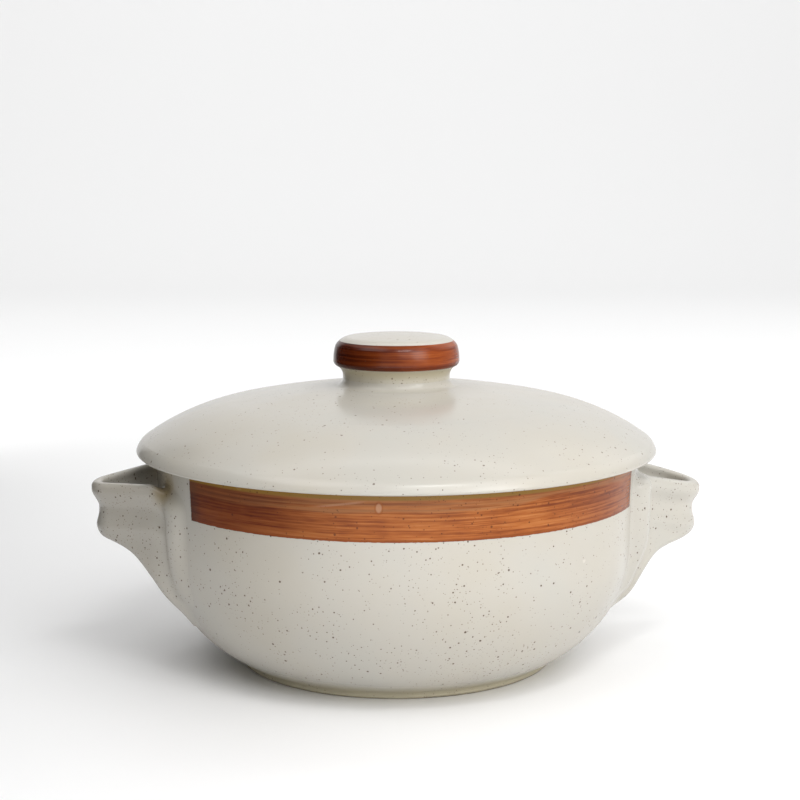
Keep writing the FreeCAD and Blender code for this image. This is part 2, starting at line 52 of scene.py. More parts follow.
CAMERA_PLACE = (-0.1206, -0.7722, 0.2301)
CAMERA_TILT = 82.0              # degrees from looking straight down
CAMERA_TURN = -9.0              # degrees about Z; the pot stands a little turned to the camera
CAMERA_LENS = 76.5
SENSOR = 36.0


def in_studio(x, y, z):
    """A place given along and across the camera's view, in the frame of the pot."""
    return Matrix.Rotation(math.radians(CAMERA_TURN), 3, "Z") @ Vector((x, y, z))


def camera():
    data = bpy.data.cameras.new("camera")
    data.lens = CAMERA_LENS
    data.sensor_width = SENSOR
    placed = bpy.data.objects.new("camera", data)
    placed.location = CAMERA_PLACE
    placed.rotation_euler = (math.radians(CAMERA_TILT), 0, math.radians(CAMERA_TURN))
    bpy.context.scene.collection.objects.link(placed)
    bpy.context.scene.camera = placed


# The softboxes: name, place, what it faces, width, height and power in watts.
SOFTBOXES = (
    ("key", (0.8, -1.55, 1.2), (0, 0, 0.05), 1.6, 1.6, 14.2),
    ("side", (1.2, -1.2, 0.7), (0, 0, 0.05), 0.8, 0.8, 7.8),
    ("high", (0.99, -0.62, 1.5), (0, 0, 0.05), 1.0, 1.0, 4.6),
    ("glint", (0.32, -0.88, 1.5), (0, 0, 0.12), 0.55, 0.12, 4.2),
    ("bounce", (-0.05, -0.42, 0.004), (-0.05, -0.36, 0.2), 0.7, 0.35, 1.25),
    ("left", (-1.2, -0.6, 1.8), (0, 0, 0.05), 1.5, 1.5, 12.6),
    ("edge", (1.4, 0.9, 1.2), (0, 0, 0.05), 1.4, 1.2, 3.2),
    ("back", (0.0, 1.2, 1.8), (0, 0, 0), 2.0, 1.2, 2.1),
    ("backdrop", (0, 0.9, 2.4), (0, 3.4, 0.3), 4.0, 0.8, 19),
)
AMBIENT = 0.65                  # strength of the white world


def softbox(name, place, aim, width, height, power):
    """An area light that the camera doesn't see."""
    data = bpy.data.lights.new(name, "AREA")
    data.shape = "RECTANGLE"
    data.size = width
    data.size_y = height
    data.energy = power
    lamp = bpy.data.objects.new(name, data)
    lamp.visible_camera = False
    lamp.location = in_studio(*place)
    lamp.rotation_euler = (in_studio(*aim) - lamp.location).to_track_quat("-Z", "Y").to_euler()
    bpy.context.scene.collection.objects.link(lamp)


def lights():
    for settings in SOFTBOXES:
        softbox(*settings)
    world = bpy.data.worlds.new("studio")
    world.use_nodes = True
    background = world.node_tree.nodes["Background"]
    background.inputs["Color"].default_value = (1, 1, 1, 1)
    background.inputs["Strength"].default_value = AMBIENT
    bpy.context.scene.world = world


# ------------------------------------------------------------------ node trees


class Shader:
    """A material's node tree, with short ways to add nodes.  A value is a number or a socket."""

    def __init__(self, name):
        self.material = bpy.data.materials.new(name)
        self.material.use_nodes = True
        self.tree = self.material.node_tree
        self.surface = self.tree.nodes["Principled BSDF"]
        self.place = self.add("ShaderNodeTexCoord").outputs["Object"]
        split = self.add("ShaderNodeSeparateXYZ", {"Vector": self.place})
        self.across, self.along, self.height = split.outputs

    def add(self, kind, values=(), **settings):
        node = self.tree.nodes.new(kind)
        for key, setting in settings.items():
            setattr(node, key, setting)
        for key, value in dict(values).items():
            self.give(node.inputs[key], value)
        return node

    def give(self, socket, value):
        if isinstance(value, bpy.types.NodeSocket):
            self.tree.links.new(value, socket)
        elif isinstance(value, (tuple, list)) and socket.type == "RGBA":
            socket.default_value = (*value, 1.0)
        else:
            socket.default_value = value

    def math(self, operation, *values):
        inputs = dict(enumerate(values))
        return self.add("ShaderNodeMath", inputs, operation=operation).outputs[0]

    def hypot(self, first, second):
        squares = [self.math("POWER", value, 2.0) for value in (first, second)]
        return self.math("SQRT", self.math("ADD", *squares))

    def distance(self, place):
        """Distance from a place."""
        ports = {0: self.place, 1: place}
        return self.add("ShaderNodeVectorMath", ports, operation="DISTANCE").outputs[1]

    def step(self, value, low, high):
        """0 below low, 1 above high, smooth between.  low may be the larger."""
        ports = {"Value": value, "From Min": low, "From Max": high}
        return self.add("ShaderNodeMapRange", ports, interpolation_type="SMOOTHSTEP").outputs[0]

    def noise(self, vector, scale, detail=2.0, roughness=0.5):
        ports = {"Vector": vector, "Scale": scale, "Detail": detail, "Roughness": roughness}
        return self.add("ShaderNodeTexNoise", ports).outputs[0]

    def mix(self, share, first, second, blend="MIX"):
        node = self.add("ShaderNodeMix", data_type="RGBA", blend_type=blend)
        self.give(node.inputs[0], share)
        self.give(node.inputs[6], first)
        self.give(node.inputs[7], second)
        return node.outputs[2]

    def ramp(self, value, *stops):
        node = self.add("ShaderNodeValToRGB", {"Fac": value})
        while len(node.color_ramp.elements) < len(stops):
            node.color_ramp.elements.new(0.5)
        for element, (place, colour) in zip(node.color_ramp.elements, stops):
            element.position = place
            element.color = (*colour, 1)
        return node.outputs[0]

    def bump(self, height, strength, distance):
        ports = {"Height": height, "Strength": strength, "Distance": distance}
        return self.add("ShaderNodeBump", ports).outputs[0]


# ------------------------------------------------------------------ glaze

CREAM = (0.455, 0.430, 0.380)
CREAM_WARM = (0.450, 0.420, 0.362)
CREAM_COOL = (0.448, 0.430, 0.386)
THIN = (0.405, 0.365, 0.262)            # where the glaze runs thin and the clay shows through
NECK_THIN_AND_LIT = (0.445, 0.395, 0.275)            # the same under the knob, made a little lighter than THIN as painted light where the knob shades it
CLAY_EDGE = (0.20, 0.16, 0.10)          # where the foot stands on the table
SPECK = (0.075, 0.042, 0.024)
KNOB_NECK = (31 * MM, 25 * MM)          # radii between which the lid's glaze turns to the thin glaze of the neck

# Iron specks come in three sizes: the spacing of the cells that may hold one, the share of
# cells that do, the largest radius, and how dark it is.
SPECKS = (
    (3.0 * MM, 0.27, 0.68 * MM, 0.92),
    (2.0 * MM, 0.25, 0.45 * MM, 0.75),
    (1.4 * MM, 0.38, 0.33 * MM, 0.55),
)


def specks(shader, density, depth):
    """How much iron shows at a place: 0 is clear glaze and 1 the middle of a speck."""
    wander = shader.noise(shader.place, 1 / (1.1 * MM), 1.0)
    ports = {0: wander, 1: (0.35 * MM,) * 3}
    shift = shader.add("ShaderNodeVectorMath", ports, operation="MULTIPLY").outputs[0]
    ports = {0: shader.place, 1: shift}
    bent = shader.add("ShaderNodeVectorMath", ports, operation="ADD").outputs[0]
    crowd = shader.step(shader.noise(shader.place, 1 / (34 * MM), 2.0), 0.36, 0.66)
    crowd = shader.math("MULTIPLY_ADD", crowd, 1.3, 0.45)
    total = None
    for spacing, share, radius, dark in SPECKS:
        cells = shader.add("ShaderNodeTexVoronoi", {"Vector": bent, "Scale": 1 / spacing})
        draw = shader.add("ShaderNodeSeparateColor", {"Color": cells.outputs["Color"]})
        limit = shader.math("MULTIPLY", shader.math("MULTIPLY", crowd, density), share)
        chosen = shader.math("LESS_THAN", draw.outputs[0], limit)
        widest = radius / spacing
        reach = shader.math("MULTIPLY_ADD", draw.outputs[1], widest * 0.6, widest * 0.4)
        inner = shader.math("MULTIPLY", reach, 0.55)
        spot = shader.step(cells.outputs["Distance"], reach, inner)
        shade = shader.math("MULTIPLY", spot, shader.math("MULTIPLY", chosen, dark * depth))
        total = shade if total is None else shader.math("MAXIMUM", total, shade)
    return total


def thinning(shader):
    """How thin the glaze is towards the foot, 0 to 1."""
    sway = shader.noise(shader.place, 1 / (20 * MM), 2.0)
    wave = shader.math("MULTIPLY_ADD", sway, 3 * MM, shader.height)
    return shader.step(wave, 11.5 * MM, 4 * MM)


def cream(shader, density, depth, thin=0.0, thin_colour=THIN):
    """Colour of the cream glaze with its specks, and the specks alone."""
    cloud = shader.noise(shader.place, 1 / (45 * MM), 3.0)
    tone = shader.ramp(cloud, (0.35, CREAM_COOL), (0.5, CREAM), (0.68, CREAM_WARM))
    tone = shader.mix(thin, tone, thin_colour)
    iron = specks(shader, density, depth)
    return shader.mix(iron, tone, SPECK), iron


def finish_glaze(shader, colour, iron, roughness):
    """Adds gloss and the faint unevenness of a poured glaze; gives the finished material."""
    swell = shader.noise(shader.place, 1 / (9 * MM), 2.0)
    skin = shader.noise(shader.place, 1 / (1.6 * MM), 2.0)
    relief = shader.math("ADD", swell, shader.math("MULTIPLY", skin, 0.10))
    relief = shader.math("SUBTRACT", relief, shader.math("MULTIPLY", iron, 0.12))
    surface = shader.surface
    shader.give(surface.inputs["Base Color"], colour)
    patch = shader.noise(shader.place, 1 / (14 * MM), 3.0)
    shader.give(surface.inputs["Roughness"], shader.math("MULTIPLY_ADD", patch, 0.10, roughness))
    shader.give(surface.inputs["Normal"], shader.bump(relief, 0.35, 0.12 * MM))
    surface.inputs["IOR"].default_value = 1.5
    return shader.material


# The left handle
CROWD = (-0.124, -0.016, 0.069)         # a place where many specks crowd
CORNER_SHADE_PLACE = (-0.1062, -0.031, 0.0865)       # middle of the painted shadow in the handle's corner, where some glaze also pooled
OLIVE_AND_SHADE = (0.68, 0.60, 0.44)              # tint of that painted shade, olive like the pooled glaze
STRAP_PAINTED_SHADE = (0.84, 0.83, 0.82)        # painted shade: darkens the left handle's strap, which gets less light

# The brushed bands
BAND_LOW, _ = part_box("rim_band_front")
BAND_HALF = math.asin(-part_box("rim_band_front")[0].x / -BAND_LOW.y)
BAND_DARK = (0.165, 0.034, 0.006)
BAND_RED = (0.245, 0.062, 0.010)
BAND_ORANGE = (0.335, 0.098, 0.019)
BAND_LIGHT = (0.430, 0.155, 0.040)
BAND_LEFT_PAINTED_SHADE = (0.45, 0.32, 0.25)          # painted shade: tint that darkens the band towards its left end
BAND_SHADE = (0.70, 0.58, 0.50)         # tint towards the right end
BAND_SHEEN_TAN = (0.280, 0.124, 0.046)        # painted reflection: the pale sheen just under the rim
BAND_OLIVE = (0.230, 0.125, 0.022)      # the line at the rim
BAND_BLACK = (0.050, 0.014, 0.006)      # the left end, and specks in the band
BAND_PLUM = (0.150, 0.050, 0.032)       # the right end
BAND_GLINT = (0.470, 0.270, 0.160)       # painted highlights: the small ring and the streak
STROKE = 0.018                          # how much the places are squeezed round the pot

# Painted highlights on the front band: the ring's middle and half its size, each across and in
# height; the streak's line.
GLINT_RING = (-24.1 * MM, 91.8 * MM)
GLINT_RING_HALF = (1.7 * MM, 2.7 * MM)
GLINT_STREAK_LEVEL = 98.87 * MM                # its height if it ran on to the axis
GLINT_STREAK_LEAN = 0.15                       # how fast it rises to the right
KNOB_LEFT_PAINTED_SHADE = (0.20, 0.10, 0.07)          # tints of the knob's band, from its left side to its right; the dark left one is painted shade
KNOB_SHADE = (0.70, 0.45, 0.25)


def strokes(shader, squeeze=STROKE):
    """Places squeezed round the pot, so that a noise in them runs in level strokes."""
    sway = shader.noise(shader.place, 1 / (60 * MM), 1.0)
    rise = shader.math("MULTIPLY", sway, 1.0 * MM)
    lift = shader.add("ShaderNodeCombineXYZ", {"Z": rise}).outputs[0]
    ports = {0: shader.place, 1: lift}
    moved = shader.add("ShaderNodeVectorMath", ports, operation="ADD").outputs[0]
    ports = {"Vector": moved, "Scale": (squeeze, squeeze, 1)}
    return shader.add("ShaderNodeMapping", ports).outputs[0]


def brushwork(shader, flat):
    """Colour of iron glaze laid on with a loaded brush while the pot turns."""
    broad = shader.noise(flat, 1 / (4.5 * MM), 1.0)
    fine = shader.noise(flat, 1 / (1.05 * MM), 2.0, 0.75)
    blot = shader.noise(shader.place, 1 / (14 * MM), 2.0)
    amount = shader.math("MULTIPLY_ADD", broad, 0.42, -0.43)
    amount = shader.math("MULTIPLY_ADD", fine, 1.18, amount)
    amount = shader.math("MULTIPLY_ADD", blot, 0.25, amount)
    grain = shader.noise(strokes(shader, 0.12), 1 / (0.8 * MM), 1.0)
    amount = shader.math("MULTIPLY_ADD", grain, 0.28, shader.math("SUBTRACT", amount, 0.14))
    stops = ((0.26, BAND_DARK), (0.40, BAND_RED), (0.54, BAND_ORANGE), (0.76, BAND_LIGHT))
    return shader.ramp(amount, *stops)


def painted_glints(shader, brown):
    """Painted highlights in the front band: a small pale ring with a red edge, and a pale streak.
    """
    front = shader.step(shader.along, 0, -10 * MM)
    away = shader.math("DIVIDE", shader.math("SUBTRACT", shader.across, GLINT_RING[0]), GLINT_RING_HALF[0])
    above = shader.math("DIVIDE", shader.math("SUBTRACT", shader.height, GLINT_RING[1]), GLINT_RING_HALF[1])
    reach = shader.hypot(away, above)
    rim = shader.math("MULTIPLY", shader.step(reach, 1.2, 0.95), front)
    brown = shader.mix(shader.math("MULTIPLY", rim, 0.45), brown, BAND_RED)
    heart = shader.math("MULTIPLY", shader.step(reach, 0.85, 0.5), front)
    brown = shader.mix(shader.math("MULTIPLY", heart, 0.55), brown, BAND_GLINT)
    line = shader.math("MULTIPLY_ADD", shader.across, GLINT_STREAK_LEAN, GLINT_STREAK_LEVEL)
    off = shader.math("ABSOLUTE", shader.math("SUBTRACT", shader.height, line))
    streak = shader.math("MULTIPLY", shader.step(off, 0.75 * MM, 0.1 * MM), front)
    streak = shader.math("MULTIPLY", streak, shader.step(shader.across, -52 * MM, -43 * MM))
    streak = shader.math("MULTIPLY", streak, shader.step(shader.across, -28 * MM, -34 * MM))
    return shader.mix(shader.math("MULTIPLY", streak, 0.38), brown, BAND_GLINT)


def pot_density(shader, left_side):
    """How many specks: more on the handles, and most in one patch of the left one."""
    right_side = shader.step(shader.across, 98 * MM, 110 * MM)
    density = shader.math("MULTIPLY_ADD", right_side, 0.4, 1.7)
    density = shader.math("MULTIPLY_ADD", left_side, 1.3, density)
    patch = shader.step(shader.distance(CROWD), 26 * MM, 10 * MM)
    return shader.math("MULTIPLY_ADD", patch, 2.6, density)


def left_handle_shade_and_pool(shader, colour, radius, left_side):
    """Painted shade on the left handle: its corner and the inside of its loop darkened olive,
    partly glaze pooled there, and its strap darkened.
    """
    # painted shadow of the lid where the strap meets the bowl, tinted olive like pooled glaze
    sway = shader.noise(shader.place, 1 / (7 * MM), 2.0)
    away = shader.math("MULTIPLY_ADD", sway, 5 * MM, shader.distance(CORNER_SHADE_PLACE))
    colour = shader.mix(shader.step(away, 13 * MM, 6 * MM), colour, OLIVE_AND_SHADE, "MULTIPLY")
    # painted shade: the strap of the left handle is darkened where less light reaches it
    strap = shader.step(shader.across, -106 * MM, -116 * MM)
    colour = shader.mix(strap, colour, STRAP_PAINTED_SHADE, "MULTIPLY")
    # painted shade inside the loop, next to the bowl under the lid
    corner = shader.math("MULTIPLY", shader.step(shader.height, 74 * MM, 87 * MM), left_side)
    corner = shader.math("MULTIPLY", corner, shader.step(radius, 119 * MM, 112 * MM))
    return shader.mix(shader.math("MULTIPLY", corner, 0.7), colour, OLIVE_AND_SHADE, "MULTIPLY")


def band_painted_sheen(shader, flat, round_way):
    """How much painted reflection lies on the band under the rim, 0 to 1: a pale sheen laid into
    its colour.
    """
    sway = shader.noise(shader.place, 1 / (30 * MM), 1.0)
    flow = shader.math("MULTIPLY_ADD", sway, 5 * MM, shader.height)
    right = shader.step(round_way, 0.05, 0.5)
    flow = shader.math("MULTIPLY_ADD", right, -2.8 * MM, flow)
    sheen = shader.step(flow, 91.6 * MM, 93.4 * MM)
    left_end = shader.step(round_way, -0.35, -0.80)
    sheen = shader.math("MULTIPLY", sheen, shader.math("MULTIPLY_ADD", left_end, -0.62, 0.85))
    thread = shader.step(shader.noise(flat, 1 / (1.3 * MM), 2.0, 0.7), 0.30, 0.62)
    return shader.math("MULTIPLY", sheen, shader.math("MULTIPLY_ADD", thread, 0.70, 0.22))


def brushed_band(shader, colour, radius, iron):
    """Lays the brushed band, with its ragged edges, over the colour of the glaze."""
    round_way = shader.math("DIVIDE", shader.across, radius)
    side = shader.math("ABSOLUTE", round_way)
    ragged = shader.noise(shader.place, 1 / (2.5 * MM), 3.0)
    edge = shader.math("MULTIPLY_ADD", ragged, 0.6 * MM, BAND_LOW.z - 0.3 * MM)
    over_edge = shader.math("SUBTRACT", shader.height, edge)
    reach = shader.math("MULTIPLY_ADD", ragged, 0.006, math.sin(BAND_HALF) - 0.003)
    past_end = shader.math("SUBTRACT", side, reach)
    low = shader.step(over_edge, -0.12 * MM, 0.12 * MM)
    ends = shader.step(past_end, 0.0015, -0.0015)
    outside = shader.step(radius, -BAND_LOW.y - 4 * MM, -BAND_LOW.y - 3 * MM)
    band = shader.math("MULTIPLY", shader.math("MULTIPLY", low, ends), outside)

    flat = strokes(shader)
    brown = brushwork(shader, flat)
    # painted shade: the band darkens towards its left end, where less light falls
    brown = shader.mix(shader.step(round_way, -0.25, -0.75), brown, BAND_LEFT_PAINTED_SHADE, "MULTIPLY")
    brown = shader.mix(shader.step(round_way, 0.3, 0.8), brown, BAND_SHADE, "MULTIPLY")
    hem = shader.step(over_edge, 1.5 * MM, 0.4 * MM)
    brown = shader.mix(shader.math("MULTIPLY", hem, 0.6), brown, BAND_DARK)
    tail = shader.step(past_end, -0.040, -0.002)
    left_tail = shader.math("MULTIPLY", tail, shader.step(round_way, 0, -0.5))
    brown = shader.mix(shader.math("MULTIPLY", left_tail, 0.7), brown, BAND_BLACK)
    tail = shader.step(past_end, -0.020, -0.002)
    right_tail = shader.math("MULTIPLY", tail, shader.step(round_way, 0, 0.5))
    brown = shader.mix(shader.math("MULTIPLY", right_tail, 0.7), brown, BAND_PLUM)
    # painted reflection: a pale tan sheen on the band just under the rim
    brown = shader.mix(band_painted_sheen(shader, flat, round_way), brown, BAND_SHEEN_TAN)
    # painted highlights: a pale ring and a pale streak on the front band
    brown = painted_glints(shader, brown)
    rim_line = shader.step(shader.height, 94.5 * MM, 95.5 * MM)
    brown = shader.mix(rim_line, brown, BAND_OLIVE)
    brown = shader.mix(shader.math("MULTIPLY", iron, 0.75), brown, BAND_BLACK)
    return shader.mix(band, colour, brown)


def pot_glaze(name, gloss):
    """The bowl, its bands and its handles."""
    shader = Shader(name)
    shader.surface.inputs["Specular IOR Level"].default_value = gloss
    radius = shader.hypot(shader.across, shader.along)
    left_side = shader.step(shader.across, -98 * MM, -110 * MM)
    thin = thinning(shader)
    colour, iron = cream(shader, pot_density(shader, left_side), 1.0, thin)
    # painted shade on the left handle, partly olive glaze pooled in its corner
    colour = left_handle_shade_and_pool(shader, colour, radius, left_side)
    colour = brushed_band(shader, colour, radius, iron)
    return finish_glaze(shader, colour, iron, shader.math("MULTIPLY_ADD", thin, 0.30, 0.20))


def lid_glaze():
    shader = Shader("speckled_glaze_lid")
    radius = shader.hypot(shader.across, shader.along)
    thin = shader.math("MULTIPLY", shader.step(radius, *KNOB_NECK), 0.1)
    # the thin glaze round the knob's neck is partly painted light
    colour, iron = cream(shader, 0.72, 0.8, thin, NECK_THIN_AND_LIT)
    shader.surface.inputs["Specular IOR Level"].default_value = 0.42
    return finish_glaze(shader, colour, iron, 0.17)


def knob_glaze():
    shader = Shader("speckled_glaze_knob")
    level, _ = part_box("knob")
    thin = shader.step(shader.height, level.z + 8 * MM, level.z + 4 * MM)
    foot = shader.step(shader.height, level.z + 5 * MM, level.z)
    density = shader.math("MULTIPLY_ADD", foot, 2.0, 0.8)
    thin = shader.math("MULTIPLY", thin, shader.math("MULTIPLY_ADD", foot, -0.55, 1.0))
    # the thin glaze at the knob's foot is partly painted light
    colour, iron = cream(shader, density, 0.8, thin, NECK_THIN_AND_LIT)
    return finish_glaze(shader, colour, iron, 0.18)


def knob_band_glaze():
    shader = Shader("iron_band_knob")
    iron = specks(shader, 0.7, 0.6)
    _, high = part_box("knob_band")
    round_way = shader.math("DIVIDE", shader.across, high.x)
    # painted shade: the knob's band darkens towards its left side
    tint = shader.mix(shader.step(round_way, -0.9, 0.6), KNOB_LEFT_PAINTED_SHADE, KNOB_SHADE)
    brown = shader.mix(1.0, brushwork(shader, strokes(shader)), tint, "MULTIPLY")
    colour = shader.mix(iron, brown, SPECK)
    shader.surface.inputs["Specular IOR Level"].default_value = 0.25
    return finish_glaze(shader, colour, iron, 0.18)


def foot_glaze():
    shader = Shader("foot_glaze")
    colour, iron = cream(shader, 1.9, 1.0, thinning(shader))
    low = shader.step(shader.height, 1.0 * MM, 0.1 * MM)
    colour = shader.mix(shader.math("MULTIPLY", low, 0.8), colour, CLAY_EDGE)
    return finish_glaze(shader, colour, iron, 0.45)


def bare_clay():
    shader = Shader("bare_stoneware")
    grain = shader.noise(shader.place, 1 / (0.6 * MM), 4.0, 0.7)
    colour = shader.ramp(grain, (0.35, (0.40, 0.31, 0.21)), (0.65, (0.56, 0.46, 0.34)))
    shader.give(shader.surface.inputs["Base Color"], colour)
    shader.give(shader.surface.inputs["Roughness"], shader.math("MULTIPLY_ADD", grain, 0.2, 0.62))
    shader.give(shader.surface.inputs["Normal"], shader.bump(grain, 0.5, 0.15 * MM))
    return shader.material


def floor_paint():
    shader = Shader("studio_white")
    shader.surface.inputs["Base Color"].default_value = (0.89, 0.89, 0.89, 1)
    shader.surface.inputs["Roughness"].default_value = 0.55
    return shader.material


def dress(name, material):
    """Gives a CAD node its finished material."""
    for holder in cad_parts[name].material_slots:
        holder.material = material


# ------------------------------------------------------------------ the bowl's outside


def bowl_outline():
    """Heights and outside radii of the bowl, from its CAD mesh."""
    low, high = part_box("bowl")
    points = {}
    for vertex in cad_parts["bowl"].data.vertices:
        key = round(vertex.co.z, 4)
        points[key] = max(points.get(key, 0), math.hypot(vertex.co.x, vertex.co.y))
    levels = sorted(level for level in points if level < high.z - 1 * MM)
    radii = np.array([points[level] for level in levels])
    keep = np.maximum.accumulate(radii) <= radii + 1e-5
    return np.array(levels)[keep], radii[keep]


LEVELS, RADII = bowl_outline()


def above_bowl(x, y, z):
    """Distance of places from the bowl's outside, negative in the wall."""
    radius = np.interp(z, LEVELS, RADII)
    lean = (np.interp(z + MM, LEVELS, RADII) - np.interp(z - MM, LEVELS, RADII)) / (2 * MM)
    return (np.hypot(x, y) - radius) / np.sqrt(1 + lean ** 2)


# ------------------------------------------------------------------ handles as soft clay


def smooth(t):
    """0 below 0, 1 above 1, smooth between."""
    t = np.clip(t, 0, 1)
    return t * t * (3 - 2 * t)


def melt(a, b, reach):
    """The union of two fields, with a soft fillet of about that reach."""
    h = np.clip(1 - np.abs(a - b) / reach, 0, None)
    return np.minimum(a, b) - h ** 3 * reach / 6


def round_corner(a, b, radius):
    """The overlap of two fields, with its corner rounded."""
    u, v = a + radius, b + radius
    corner = np.hypot(np.maximum(u, 0), np.maximum(v, 0))
    return np.minimum(np.maximum(u, v), 0) + corner - radius


def through(points, x):
    """A smooth curve through a few (place, value) pairs, read at x."""
    places, values = np.array(points, float).T
    slopes = np.gradient(values, places)
    i = np.clip(np.searchsorted(places, x) - 1, 0, len(places) - 2)
    run = places[i + 1] - places[i]
    t = np.clip((x - places[i]) / run, 0, 1)
    a, b = values[i], values[i + 1]
    lean = run * t * (1 - t) * ((1 - t) * slopes[i] - t * slopes[i + 1])
    return a + (b - a) * smooth(t) + lean


STRAP = 5.2 * MM                # thickness of the strap
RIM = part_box("bowl")[1].x       # radius of the bowl at its widest

# Each handle is drawn along +X, x being the distance from the axis of the pot, and turned
# into place.
#   front     sign of y on the side that ends up at the front
#   turn      angle it is turned by about Z
#   reach     x of the outside of the tip
#   round     outside radius of the loop at its tip
#   splay     how much each side of the loop opens towards the bowl
#   tip       height of the top edge at the tip
#   rise      how much higher the top edge is at the bowl
#   dip       how far the front side's top edge dips again next to the bowl
#   lower     the lower edge: x and height, in mm
#   pad       where the ridge of each flared end runs on the bowl: height and distance round
#             the bowl from the middle, in mm
#   pad_top, pad_toe, pad_height
#             height of the flared end's top and toe, and how far it stands off the bowl
#   melt      reach of the fillet between strap and flared end
HANDLES = {
    "handle_left": {
        "front": 1,
        "turn": math.pi,
        "reach": 140.2 * MM,
        "round": 16 * MM,
        "splay": math.radians(42),
        "tip": 86.3 * MM,
        "rise": 3.0 * MM,
        "dip": 5.5 * MM,
        "lower": ((96, 26), (100.1, 30.2), (105.4, 35), (109.6, 39.6), (113, 44.4), (116.4, 49),
                  (121.5, 54.8), (129.5, 59.3), (138, 61.4), (150, 62)),
        "pad": ((24, 36.5), (45, 38.5), (60, 39.5), (74, 39.5), (84, 38.5)),
        "pad_top": 84 * MM,
        "pad_toe": 38.5 * MM,
        "pad_height": 3.9 * MM,
        "melt": 10.5 * MM,
    },
    "handle_right": {
        "front": -1,
        "turn": 0.0,
        "reach": 146.2 * MM,
        "round": 25 * MM,
        "splay": math.radians(26),
        "tip": 78.7 * MM,
        "rise": 7.5 * MM,
        "dip": 1.0 * MM,
        "lower": ((94, 25.6), (98, 27.2), (101.4, 29), (104.6, 31.6), (107.2, 34.8), (109.6, 38.4),
                  (112.6, 42.6), (116.8, 47.5), (119.7, 49.6), (124.8, 51.5), (131.5, 53.1),
                  (137, 54.1), (150, 55)),
        "pad": ((24, 38), (45, 39), (60, 39.5), (74, 39.5), (84, 39)),
        "pad_top": 88 * MM,
        "pad_toe": 34 * MM,
        "pad_height": 7.6 * MM,
        "melt": 11 * MM,
    },
}
LIP = 3.2 * MM                  # how far the rolled lip stands out over the waist
BULGE = 1.3 * MM                # how far the strap swells again under the waist
PAD_ROUND = 8 * MM              # radius of a flared end's ridge
TURN = 6 * MM                   # half the length in which the loop's side turns parallel to X
SINK = 0.15 * MM                # the clay ends this far under the bowl's skin
STRAP_START = 88 * MM           # x where the strap begins, inside the bowl's wall
PITCH = 0.8 * MM                # of the grid that the handles' skin is read from


def handle_field(x, y, z, form):
    """Signed distance to one handle, with the fillet that joins it to the bowl."""
    bowl = above_bowl(x, y, z)
    centre = form["reach"] - form["round"]
    middle = form["round"] - STRAP / 2
    splay = form["splay"]

    # In plan: a loop of two straight sides and a round tip.
    px, py = x - centre, np.abs(y)
    t = np.clip((x - RIM) / TURN, -1, 1)
    over = RIM + TURN * (t + 1) ** 2 / 4 + np.maximum(x - RIM - TURN, 0)
    straight = (over - centre) * math.sin(splay) + py * math.cos(splay) - middle
    bend = np.hypot(px, py) - middle
    out = np.where((np.arctan2(py, px) < math.pi / 2 - splay) & (x > centre), bend, straight)

    # The top edge, and the lip, waist and bulge under it.
    rooted = smooth((form["reach"] - 18 * MM - x) / (24 * MM))
    facing = smooth(0.5 + y * form["front"] / (20 * MM))
    top = form["tip"] + form["rise"] * np.clip((form["reach"] - x) / (32 * MM), 0, 1.2)
    top = top - form["dip"] * facing * smooth((115 * MM - x) / (13 * MM))
    drop = top - z
    shape = -LIP * smooth((drop - 3.5 * MM) / (8.5 * MM)) * (1 - 0.6 * rooted)
    shape = shape + BULGE * np.exp(-((drop - 20 * MM) / (3.5 * MM)) ** 2) * (1 - rooted)

    # The strap, down to its lower edge.
    lower = np.array(form["lower"], float) * MM
    low = through(lower, x)
    lean = (through(lower, x + MM) - low) / MM
    under = (low - z) / np.sqrt(1 + lean ** 2)
    side = np.abs(out - shape) - STRAP / 2
    strap = round_corner(side, np.maximum(z - top, under), 2.3 * MM)
    strap = np.maximum(strap, STRAP_START - x)

    # The flared ends on the bowl.
    around = np.arctan2(py, x) * np.interp(z, LEVELS, RADII)
    ridge = around - through(np.array(form["pad"], float) * MM, z)
    height = form["pad_height"] * (0.3 + 0.7 * smooth((z - form["pad_toe"]) / (32 * MM)))
    pad = np.hypot(ridge, bowl - height + PAD_ROUND) - PAD_ROUND
    pad = round_corner(pad, np.maximum(z - form["pad_top"], form["pad_toe"] - z), 4.5 * MM)

    # All melted together and into the bowl, whose own wall is then left out.
    clay = melt(strap, pad, form["melt"])
    whole = melt(clay, bowl + SINK, 7.0 * MM)
    piece = np.maximum(whole, -(bowl + 1.2 * MM))
    return np.maximum(piece, whole - (bowl + SINK) + 0.004 * MM)


